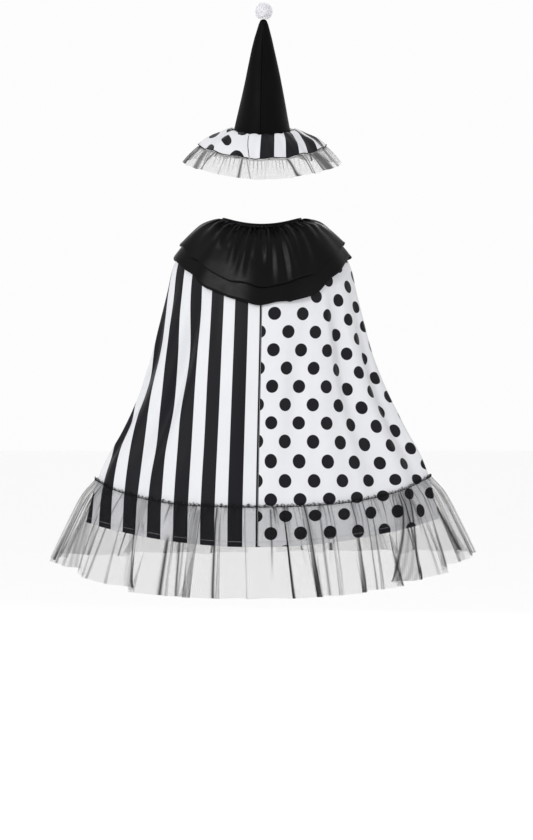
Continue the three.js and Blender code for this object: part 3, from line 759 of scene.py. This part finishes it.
def cape_panel(kind, side, behind):
    name = ("cape_back_" if behind else "cape_front_") + kind
    columns, rows = (140, 165) if behind else (100, 130)
    level = np.linspace(0, HEM_LEVEL, rows + 1)[:, None]
    side_x = between(CAPE["side_x"], level)
    first = np.arcsin(-side * seam_drift(level) / side_x) if behind else PI / 2
    last = PI / 2 if behind else front_edge_turn(front_half_gap(level), side_x)
    turn = side * (first + (last - first) * even_shares(columns, behind)[None, :])
    points = cape_point(turn, level)
    # The edges of two panels lie a seam apart
    outwards = -1 if behind else 1
    points[..., 1] = outwards * np.maximum(outwards * points[..., 1], SEAM_GAP / 2)
    if behind:
        points[:, 0, 0] = side * SEAM_GAP / 2 - seam_drift(level[:, 0])
        points[:, -1, 1] = -SEAM_GAP / 2
    else:
        points[:, 0, 1] = SEAM_GAP / 2
    arc = distance_along(points, 1) if behind else distance_along(points[:, ::-1], 1)[:, ::-1]
    uv = cloth_place(kind, behind, level, arc)
    from_seam = arc if behind else np.full_like(arc, FAR)
    values = {"seam": from_seam * MM, "hem": distance_along(points[::-1], 0)[::-1] * MM}
    if behind:
        dip = SEAM_DIP["depth"] * np.exp(-(arc / SEAM_DIP["width"]) ** 2)
        points = points - outward(cape_smooth, turn, level) * dip[..., None]
    if side < 0:
        points, uv = points[:, ::-1], uv[:, ::-1]
        values = {key: value[:, ::-1] for key, value in values.items()}
    piece = sheet_mesh(name + "_cloth", points, uv, PRINTS[kind], 0.8, point_values=values)
    finish_piece(piece, kind + "_print", name)


for behind in (True, False):
    for kind, side in (("striped", -1), ("dotted", 1)):
        cape_panel(kind, side, behind)


# The net flounce

def pleat_lines(u, drop, fold_width):
    """How bunched the net is by its pleats, from 0 to 1: small ones under the stitching, then the table's"""
    rng = np.random.default_rng(5)
    folds = len(FLOUNCE_FOLDS["depth"]) - 1
    bunched = np.zeros(np.broadcast_shapes(u.shape, drop.shape))
    for start in np.sort(rng.uniform(0, folds, 300)):
        slope = rng.normal(0, 0.16)
        length = 0.10 + 0.24 * rng.exponential(1.0)
        begins = 0.0 if rng.uniform() < 0.85 else rng.uniform(0.1, 0.35)
        strength = rng.uniform(0.3, 0.85)
        half = rng.uniform(0.9, 1.6) / fold_width
        near = np.abs(u[0] - start - slope * 0.5) < 0.8 + abs(slope)
        away = (u[:, near] - start - slope * drop) / half
        fade = smoothstep(drop, begins - 0.02, begins + 0.03)
        fade = fade * (1 - smoothstep(drop, begins + length * 0.5, begins + length))
        bunched[:, near] = np.maximum(bunched[:, near], strength * np.exp(-away ** 2) * fade)
    for start, slope, begins, half, strength in zip(*FLOUNCE_PLEATS.values()):
        narrow = half <= NARROW_PLEAT["limit"]
        away = (u - start - slope * drop) * fold_width / (half * NARROW_PLEAT["wider"] if narrow else half)
        shown = smoothstep(drop, begins - 0.02, begins + 0.06) * (drop > 0)
        if narrow:
            shape = np.exp(-away ** 2)
        else:
            shape = np.exp(-away ** 4) * (0.72 + 0.28 * np.sin(away * half * 0.9 + 3 * drop + start))
        bunched = np.maximum(bunched, min(1.0, PLEAT_DENSER * strength) * shape * shown)
    return bunched


def flounce_grid(per_fold, rows_on, rows_below):
    """The net's points, how bunched it is, and the share of its drop: below 0 above the stitching"""
    folds = len(FLOUNCE_FOLDS["depth"]) - 1
    u = np.linspace(0, folds, folds * per_fold + 1)[None, :]
    share = np.concatenate([np.linspace(-1, -0.2, rows_on), [0, 0.009, 0.015, 0.024],
                            0.035 + 0.965 * np.linspace(0, 1, rows_below) ** 1.1])[:, None]
    drop = np.maximum(share, 0)
    above = np.maximum(-share, 0)
    on_cape = share <= 0
    fold_turn = (1 - drop) * between(FLOUNCE_FOLDS["heading"], u) + drop * between(FLOUNCE_FOLDS["hem"], u)
    flounce_level = drop * 3
    cape_width = between(CAPE["side_x"], HEADING["level"])
    width = np.where(on_cape, cape_width, between(FLOUNCE["side_x"], flounce_level))
    top_gap = front_half_gap(HEADING["level"])
    half_gap = top_gap + (FRONT_HALF_GAP[2] - top_gap) * drop
    turn = np.radians(fold_turn) * front_edge_turn(half_gap, width) / PI
    heading = HEADING["level"] + HEADING["dip"] * np.sin(2 * turn) ** 2
    torn = 0.55 + 0.45 * gather(u / folds, 150, 0.8) * gather(u / folds, 61, 2.0) ** 0.5
    cape_level = heading - HEADING["frill"] * above * torn
    base_cape = cape_smooth(turn, cape_level)
    base_net = flounce_smooth(turn, flounce_level)
    # The solids bend from the cape on to the flounce between its first two rows
    blend = smoothstep(drop, 0.0, 0.29)[..., None]
    point = base_cape * (1 - blend) + base_net * blend
    normal = unit(outward(cape_smooth, turn, cape_level) * (1 - blend)
                  + outward(flounce_smooth, turn, flounce_level) * blend)
    tangent = sideways(normal)
    k = np.clip(np.floor(u), 0, folds - 1).astype(int)
    f = u - k
    depth = FLOUNCE_FOLDS["depth"][k]
    lean = FLOUNCE_FOLDS["lean"][k]
    opened = drop ** 0.8
    wave = np.sin(PI * f) ** 2
    second = 0.3 * depth * np.sin(3 * PI * f + 1.3 * k) * np.sin(PI * f) ** 2 * opened
    main = (2.6 + (depth - 2.6) * opened) * wave + second
    pucker = np.sin(PI * (6 * u + 0.35 * np.sin(2.3 * u) + 0.3 * np.sin(5.1 * u))) ** 2
    fine = pucker * (1.5 * np.exp(-drop * 9) + 0.35 * np.exp(-drop * 2)) * (1 + 1.2 * above)
    out = 2.3 + fold_depth(turn, np.where(on_cape, cape_level, heading)) + main + fine
    shift = lean * (main - 2.0) * opened
    uneven = 1.25 + 0.55 * np.sin(23 * u) * np.sin(9.1 * u + 1)
    from_stitching = np.where(share > 0, share * NET_LENGTH / 3.4, share * HEADING_HEIGHT / 2.6) / uneven
    pinch = 1 - smoothstep(np.abs(from_stitching), 0.6, 1.5)
    pleats = pleat_lines(u, drop, 56 + 14 * drop)
    points = point + normal * (out - 0.5 * pinch + 0.8 * pleats)[..., None] + tangent * shift[..., None]
    bunch = np.maximum(pinch, pleats)
    bunch = np.maximum(bunch, 0.5 * pucker ** 3 * np.exp(-drop * 16) * (share > 0))
    bunch = np.maximum(bunch, (0.3 + 0.6 * pucker ** 2) * (share < 0))
    return points, bunch, share


def cape_flounce():
    points, bunch, share = flounce_grid(60, 5, 36)
    uv = grid_uv(distance_along(points[[16]], 1) * 1.3, NET_LENGTH * share)
    flounce = sheet_mesh("cape_flounce_net", points, uv, [NET], point_values={"bunch": bunch})
    finish_piece(flounce, "black_net", "cape_flounce")


cape_flounce()


# The collars, the neck band and its button

def collar_surface(cut, u, v):
    def end(turn):
        c = np.cos(turn)
        longer = cut["longer"] * np.exp(-((wrapped(turn) - 0.62) / 0.33) ** 2)
        longer = longer + 0.035 * (np.sin(11 * turn + cut["phase"]) + 0.6 * np.sin(19 * turn + 2))
        return cut["side"] + (np.where(c > 0, cut["back"], cut["front"]) - cut["side"]) * c * c + longer

    def front_to_front(level):
        return (2 * u - 1) * front_edge_turn(front_half_gap(level), between(CAPE["side_x"], level))

    turn = front_to_front(COLLAR_TOP + (end((2 * u - 1) * PI) - COLLAR_TOP) * v)
    level = COLLAR_TOP + (end(turn) - COLLAR_TOP) * v
    wavy = smoothstep(PI - np.abs(turn), math.radians(8), math.radians(16))
    fine = cut["gather_depth"] * gather(u, cut["gathers"], cut["phase"]) * 16 * v * np.exp(-6 * v)
    broad = cut["wave_depth"] * gather(u, cut["waves"], 2 * cut["phase"]) * v
    tiny = cut["fine_depth"] * gather(u, cut["fine"], 3.1) ** 1.5 * 20 * v * np.exp(-11 * v)
    creases = 0
    if cut["gathers"]:
        creases = 1.5 * crease_depth(COLLAR_CREASES, turn, v, 1.15)
    lift = cut["lift"] + cut["tip_lift"] * v * v * (1 - 0.6 * np.cos(turn) ** 2)
    roll = 0.5 * np.exp(-((1 - v) / 0.012) ** 2)
    out = lift + wavy * (fine + broad + tiny + creases) + roll
    return raised(cape_smooth, turn, level, out)


def collar(name, columns, rows, depth):
    """A collar layer. The upper one goes on up under the neck band."""
    cut = COLLARS[name]
    u = np.linspace(0, 1, columns + 1)[None, :]
    v = (np.linspace(0, 1, rows + 1) ** 1.1)[:, None]
    points = collar_surface(cut, u, v)
    if name == "collar_upper":
        turn = (2 * u - 1) * front_edge_turn(front_half_gap(0), CAPE["side_x"][0])
        out = from_axis(turn)
        under_band = cape_smooth(turn, 0 * turn) + out * 4.4 + np.array([0, 0, NECK_STAND + 0.5])
        rise = np.array([1.0, 0.75, 0.5, 0.25])[:, None, None]
        puckers = out * (1.3 * gather(u, 66, 3.1)[..., None] * np.sin(PI * rise) ** 2)
        stand = under_band * rise + points[[0]] * (1 - rise) + puckers
        points = np.concatenate([stand, points])
        v = np.concatenate([-0.07 * rise[..., 0], v])
    uv = grid_uv(distance_along(points[[rows // 2]], 1), depth * v)
    piece = sheet_mesh(name + "_cloth", points, uv, [SATIN], 0.7)
    finish_piece(piece, "black_satin", name)


collar("collar_upper", 560, 44, 149)
collar("collar_lower", 400, 34, 190)


def ring_faces(rings, sides, first):
    """Faces between rings of vertices, from the vertex first on"""
    starts = [first + j * sides for j in range(rings)]
    return [(a + i, a + (i + 1) % sides, b + (i + 1) % sides, b + i)
            for a, b in zip(starts, starts[1:]) for i in range(sides)]


def tube_mesh(name, path, outs, ups, radii, material, sides=14):
    """A closed tube of an oval section along a path. radii are its half sizes along outs and ups."""
    angle = np.linspace(0, 2 * PI, sides, endpoint=False)
    ring = (outs[:, None] * (np.cos(angle) * radii[0])[None, :, None]
            + ups[:, None] * (np.sin(angle) * radii[1])[None, :, None])
    points = path[:, None] + ring
    faces = ring_faces(len(path), sides, 0)
    faces += [tuple(reversed(range(sides))), tuple((len(path) - 1) * sides + i for i in range(sides))]
    piece = mesh_object(name, (points.reshape(-1, 3) * MM).tolist(), faces, material)
    along = distance_along(path, 0)
    coordinates = []
    for face in faces:
        for vertex in face:
            coordinates += [along[vertex // sides] * MM, (vertex % sides) / sides * 12 * MM]
    piece.data.uv_layers.new(name="UVMap").data.foreach_set("uv", coordinates)
    return piece


def neck_band():
    turn = np.linspace(-1, 1, 321) * front_edge_turn(front_half_gap(0), CAPE["side_x"][0])
    out = from_axis(turn)
    pucker = 0.25 * np.sin(turn * 70) + 0.15 * np.sin(turn * 43 + 1)
    path = cape_smooth(turn, 0 * turn) + out * 2.4 + np.array([0, 0, NECK_STAND + 2]) + out * pucker[:, None]
    up = np.broadcast_to(np.array([0, 0, 1.0]), out.shape)
    piece = tube_mesh("neck_band_cloth", path, out, up, (1.6, 2.1), SATIN)
    finish_piece(piece, "black_satin", "neck_band")


neck_band()


def lathe_mesh(name, profile, sides, material):
    """A solid of revolution about Z from (radius, height) pairs that start and end on the axis"""
    inner = profile[1:-1]
    vertices = [(0, 0, profile[0][1])]
    for radius, height in inner:
        vertices += [(radius * math.cos(a), radius * math.sin(a), height)
                     for a in np.linspace(0, 2 * PI, sides, endpoint=False)]
    vertices.append((0, 0, profile[-1][1]))
    end = len(vertices) - 1
    faces = [(0, 1 + (i + 1) % sides, 1 + i) for i in range(sides)] + ring_faces(len(inner), sides, 1)
    last = 1 + (len(inner) - 1) * sides
    faces += [(last + i, last + (i + 1) % sides, end) for i in range(sides)]
    return mesh_object(name, [tuple(c * MM for c in vertex) for vertex in vertices], faces, material)


def neck_button():
    turn, level = np.array(PI), np.array(0.3)
    normal = outward(cape_smooth, turn, level)
    centre = cape_smooth(turn, level) + normal * (6.1 + 2 * SEAM_GAP + 1.5)
    profile = [(0, -1.5), (6.6, -1.5), (7.5, -1.1), (8.0, -0.2), (7.9, 0.7), (7.3, 1.25),
               (6.6, 1.4), (5.9, 1.2), (5.2, 0.75), (3.0, 0.6), (0, 0.55)]
    piece = lathe_mesh("neck_button_disc", profile, 48, BUTTON)
    rotation = Vector((0, 0, 1)).rotation_difference(Vector(normal.tolist())).to_matrix().to_4x4()
    piece.data.transform(Matrix.Translation(Vector((centre * MM).tolist())) @ rotation)
    finish_piece(piece, "black_button", "neck_button")


neck_button()


# The hat

def hat_frame(points):
    lean, tip = (math.radians(angle) for angle in HAT_LEAN)
    turn_x = np.array([[1, 0, 0], [0, math.cos(lean), -math.sin(lean)], [0, math.sin(lean), math.cos(lean)]])
    turn_y = np.array([[math.cos(tip), 0, math.sin(tip)], [0, 1, 0], [-math.sin(tip), 0, math.cos(tip)]])
    return points @ (turn_x @ turn_y).T + np.array(HAT_PLACE)


def hat_point(turn, radius, height):
    turn, radius, height = np.broadcast_arrays(turn, radius, height)
    level_share = np.clip(1 - height / CONE_TOP, 0, 1)
    oval = 1 + (HAT_OVAL - 1) * level_share * np.minimum(1, CONE["radius"][0] / radius)
    return np.stack([radius * np.sin(turn), -radius * oval * np.cos(turn), height], -1)


def hat_level_point(rows, turn, level):
    def at(kind):
        centre = centre_value(rows, kind, turn, level)
        return centre + (between(rows["side_" + kind], level) - centre) * np.sin(turn) ** 2

    return hat_point(turn, at("r"), at("h"))


def hat_cone():
    beside_seam = np.array([0.5, 1, 1.5, 2, 2.6, 3.4, 4.5, 6])
    near_seam = CONE_SEAM_TURN + np.concatenate([-beside_seam[::-1], [0], beside_seam])
    turn = np.radians(np.concatenate([np.arange(-180, near_seam[0] - 1, 3.0), near_seam,
                                      np.arange(near_seam[-1] + 1.5, 179, 3.0)]))[None, :]
    foot, below_tip = CONE["height"][0], CONE["height"][-2]
    round_tip = [266, 269, 271, 272.6, 273.6, CONE_TOP]
    height = np.concatenate([np.linspace(foot, below_tip, 84), round_tip])[::-1][:, None]
    radius = np.interp(height, CONE["height"], CONE["radius"])
    radius = np.where(height > 271, 8 * np.sqrt(np.clip(1 - ((height - 269) / 5.05) ** 2, 0.0, 1)), radius)
    radius = np.maximum(radius, 0.4)
    lean_in = np.clip((below_tip - height) / 60, 0, 1)
    dents = np.sin(2 * turn + 0.6) * np.sin(height / 46) + 0.7 * np.sin(3 * turn + height / 38)
    beyond_seam = wrapped(turn - math.radians(CONE_SEAM_TURN)) * radius
    seam = 1.6 * np.exp(-((beyond_seam - 1.4) / 2.2) ** 2) * lean_in
    groove = 1.8 * np.exp(-((beyond_seam + 0.9) / 0.9) ** 2) * lean_in
    ends = smoothstep(height, foot, -20)
    points = hat_frame(hat_point(turn, radius + (dents * lean_in - 0.6) * ends + seam - groove, height))
    uv = grid_uv(np.append(turn, PI)[None, :] * radius, -height)
    piece = sheet_mesh("hat_cone_cloth", points, uv, [FELT], 1.6, closed=True)
    finish_piece(piece, "black_felt", "hat_cone")


hat_cone()


def brim_smooth(turn, level):
    return hat_level_point(BRIM, turn, level)


def frill_smooth(turn, level):
    return hat_level_point(FRILL, turn, level)


def brim_wave(share):
    return BRIM_EDGE_WAVE * (gather(share, BRIM_WAVES, 0.4) - 0.5)


def brim_surface(turn, level):
    share = turn / (2 * PI) + 0.5
    down = level / BRIM_END
    fine = BRIM_GATHER_DEPTH * gather(share, BRIM_GATHERS, 1.9) * np.exp(-((down - 0.2) / 0.2) ** 2)
    out = brim_wave(share) * smoothstep(down, 0.05, 1) + fine
    return raised(brim_smooth, turn, level, out)


def brim_detail(turn, level):
    share = turn / (2 * PI) + 0.5
    down = level / BRIM_END
    tiny = 0.9 * gather(share, 58, 0.9) ** 1.4 * np.exp(-((down - 0.08) / 0.13) ** 2)
    folds = 1.3 * (gather(share, 31, 2.2) - 0.5) * smoothstep(down, 0.1, 0.6)
    return raised(brim_surface, turn, level, tiny + folds)


def hat_brim(kind, side):
    name = "hat_brim_" + kind
    gap_turn = 1.5 * SEAM_GAP / 71
    v = np.linspace(0, 1, 41)[:, None]
    u = np.linspace(0, 1, 211)[None, :]
    join = np.radians(BRIM_JOIN[0] + (BRIM_JOIN[1] - BRIM_JOIN[0]) * v) - (0 if side > 0 else PI)
    turn = join + gap_turn + (PI - 2 * gap_turn) * u
    level = v * BRIM_END * np.ones_like(u)
    points = brim_detail(turn, level)
    edge = distance_along(points[[-1]], 1)
    across = distance_along(points, 0)
    edge_turn = np.radians(np.interp(np.degrees(turn), *BRIM_CLOTH_TURN[kind]))
    along = np.interp(turn + (edge_turn - turn) * (1 - v) ** 1.3, turn[-1], edge[0])
    from_back_join = along if side > 0 else edge[0, -1] - along
    scale, shift_along, shift_down = BRIM_PRINT[kind]
    uv = grid_uv(from_back_join * scale + shift_along, across + shift_down)
    points = hat_frame(points)
    values = {"seam": FAR * MM, "hem": FAR * MM}
    piece = sheet_mesh(name + "_cloth", points, uv, PRINTS[kind], 0.8, point_values=values)
    finish_piece(piece, kind + "_print", name)
    rim = points[-1]
    out = unit(rim - points[-2])
    up = unit(np.cross(np.gradient(rim, axis=0), out))
    piping = tube_mesh(name + "_piping", rim - out * 0.5, out, up, (1.4, 1.3), THREAD, 8)
    finish_piece(piping, "black_felt")


hat_brim("striped", 1)
hat_brim("dotted", -1)


def hat_frill():
    columns, rows = 1200, 22
    u = (np.arange(columns) / columns)[None, :]
    v = np.linspace(0, 1, rows + 1)[:, None]
    turn = -PI + 2 * PI * u
    stitched = 1 / 3
    on = v <= stitched
    level = FRILL_FROM + (BRIM_END - FRILL_FROM) * np.minimum(v / stitched, 1)
    turn_all, level_all = np.broadcast_arrays(turn, level)
    top = raised(brim_surface, turn_all, level_all, -FRILL_UNDER)
    drop = np.maximum(v - stitched, 0) / (1 - stitched)
    turn_all, drop_level = np.broadcast_arrays(turn, drop * 2)
    normal = outward(frill_smooth, turn_all, drop_level)
    wave = FRILL_EDGE_WAVE * (gather(u, FRILL_WAVES, 0.9) - 0.5) * drop
    fine = 1.4 * (gather(u, 47, 1.1) - 0.5) * drop
    lean = 2.2 * wave * np.sin(2 * PI * 7 * u + 0.6)
    tangent = sideways(normal)
    below = frill_smooth(turn_all, drop_level) + normal * (wave + brim_wave(u) + fine)[..., None]
    points = np.where(on[..., None], top, below + tangent * lean[..., None])
    bunch = 0.9 * np.exp(-((v - stitched) * 140 / 4) ** 2)
    fine_pleats = gather(u, 96, 1.3) ** 6 * (0.3 + 0.4 * gather(u, 13, 2.0))
    fine_pleats = fine_pleats * (1 - smoothstep(drop, 0.1, 0.6 + 0.3 * gather(u, 17, 1.0)))
    bunch = np.maximum(bunch, fine_pleats * (drop > 0))
    for start, end, half, strength in zip(*FRILL_PLEATS.values()):
        narrow = half <= NARROW_FRILL_PLEAT["limit"]
        spread = math.radians(half * NARROW_FRILL_PLEAT["wider"] if narrow else half)
        away = np.abs(wrapped(turn - np.radians(start + (end - start) * drop))) / spread
        bunch = np.maximum(bunch, strength * np.exp(-away ** (2 if narrow else 4)) * (drop > 0))
    around = distance_along(np.concatenate([points[[12]], points[[12], :1]], 1), 1) * 1.5
    uv = grid_uv(around, 70 * v)
    values = {"bunch": np.clip(bunch, 0, 1)}
    piece = sheet_mesh("hat_frill_net", hat_frame(points), uv, [NET], closed=True, point_values=values)
    finish_piece(piece, "black_net", "hat_frill")


hat_frill()


def pompom():
    rng = np.random.default_rng(11)
    count = 4400
    k = np.arange(count) + 0.5
    polar = np.arccos(1 - 2 * k / count)
    around = PI * (1 + 5 ** 0.5) * k
    ways = np.stack([np.sin(polar) * np.cos(around), np.sin(polar) * np.sin(around), np.cos(polar)], -1)
    ways = ways[ways[:, 2] > -0.86]
    ways = unit(ways + rng.normal(0, 0.07, ways.shape))
    count = len(ways)
    length = POMPOM["radius"] * (0.97 + rng.uniform(-0.13, 0.05, count))
    side = unit(np.cross(ways, rng.normal(0, 1, ways.shape)))
    other = np.cross(ways, side)
    bend = (side * rng.uniform(-1, 1, (count, 1)) + other * rng.uniform(-1, 1, (count, 1))) * 2.4
    stations = (0.0, 0.45, 0.8, 1.0)
    thick = (0.30, 0.26, 0.17, 0.03)
    base = POMPOM["core"] * 0.55
    vertices = []
    for share, size in zip(stations, thick):
        middle = ways * (base + (length - base) * share)[:, None] + bend * share ** 2
        for corner in range(3):
            angle = 2 * PI * corner / 3
            vertices.append(middle + side * (size * math.cos(angle)) + other * (size * math.sin(angle)))
    strands = np.stack(vertices, 1)
    strands[..., 2] += POMPOM["height"]
    of_one = np.array(ring_faces(len(stations), 3, 0))
    faces = (of_one[None] + 3 * len(stations) * np.arange(count)[:, None, None]).reshape(-1, 4)
    vertices = hat_frame(strands.reshape(-1, 3)) * MM
    piece = mesh_object("hat_pompom_strands", vertices.tolist(), faces.tolist(), FUR)
    attribute(piece.data, "along", np.tile(np.repeat(stations, 3), count))
    finish_piece(piece, "white_fur", "hat_pompom")
    size = POMPOM["core"]
    curve = [(size * math.cos(a), size * math.sin(a)) for a in np.linspace(-1.3, 1.3, 14)]
    core = lathe_mesh("hat_pompom_core", [(0, 0.6 - size), *curve, (0, size)], 32, FUR)
    for vertex in core.data.vertices:
        place = np.array(vertex.co) / MM + np.array([0, 0, POMPOM["height"]])
        vertex.co = Vector((hat_frame(place) * MM).tolist())
    attribute(core.data, "along", [0.4] * len(core.data.vertices))
    finish_piece(core, "white_fur")


pompom()


# Camera, floor and light

camera = bpy.data.cameras.new("camera")
camera.lens = 90
camera.sensor_width = 36
camera.clip_end = 100
view = linked("camera", camera)
view.location = (0.011, -5.04, -0.475)
view.rotation_euler = (math.radians(90), 0, 0)
bpy.context.scene.camera = view

FLOOR_HEIGHT = -1.435
FLOOR_REACH = 60
corners = [(x * FLOOR_REACH, y * FLOOR_REACH, FLOOR_HEIGHT) for x, y in ((-1, -1), (1, -1), (1, 1), (-1, 1))]
floor_material = plain_material("pale_floor", (0.975, 0.975, 0.975), 0.95)
floor = mesh_object("floor", corners, [(0, 1, 2, 3)], floor_material)

LIGHTS_AIM = Vector((0, 0, -0.4))


def area_light(name, place, size, power):
    light = bpy.data.lights.new(name, "AREA")
    light.shape = "RECTANGLE"
    light.size = light.size_y = size
    light.energy = power
    lamp = linked(name, light)
    lamp.location = place
    lamp.rotation_euler = (LIGHTS_AIM - Vector(place)).to_track_quat("-Z", "Y").to_euler()


area_light("key", (-2.6, -4.2, 1.9), 0.9, 112)
area_light("fill", (3.4, -3.6, 0.2), 1.2, 16)
area_light("back", (0.8, 4.6, 1.3), 1.8, 28)

world = bpy.data.worlds.new("studio")
world.use_nodes = True
background = world.node_tree.nodes["Background"]
background.inputs["Color"].default_value = (1, 1, 1, 1)
background.inputs["Strength"].default_value = 0.98
bpy.context.scene.world = world
bpy.context.scene.view_settings.view_transform = "Standard"
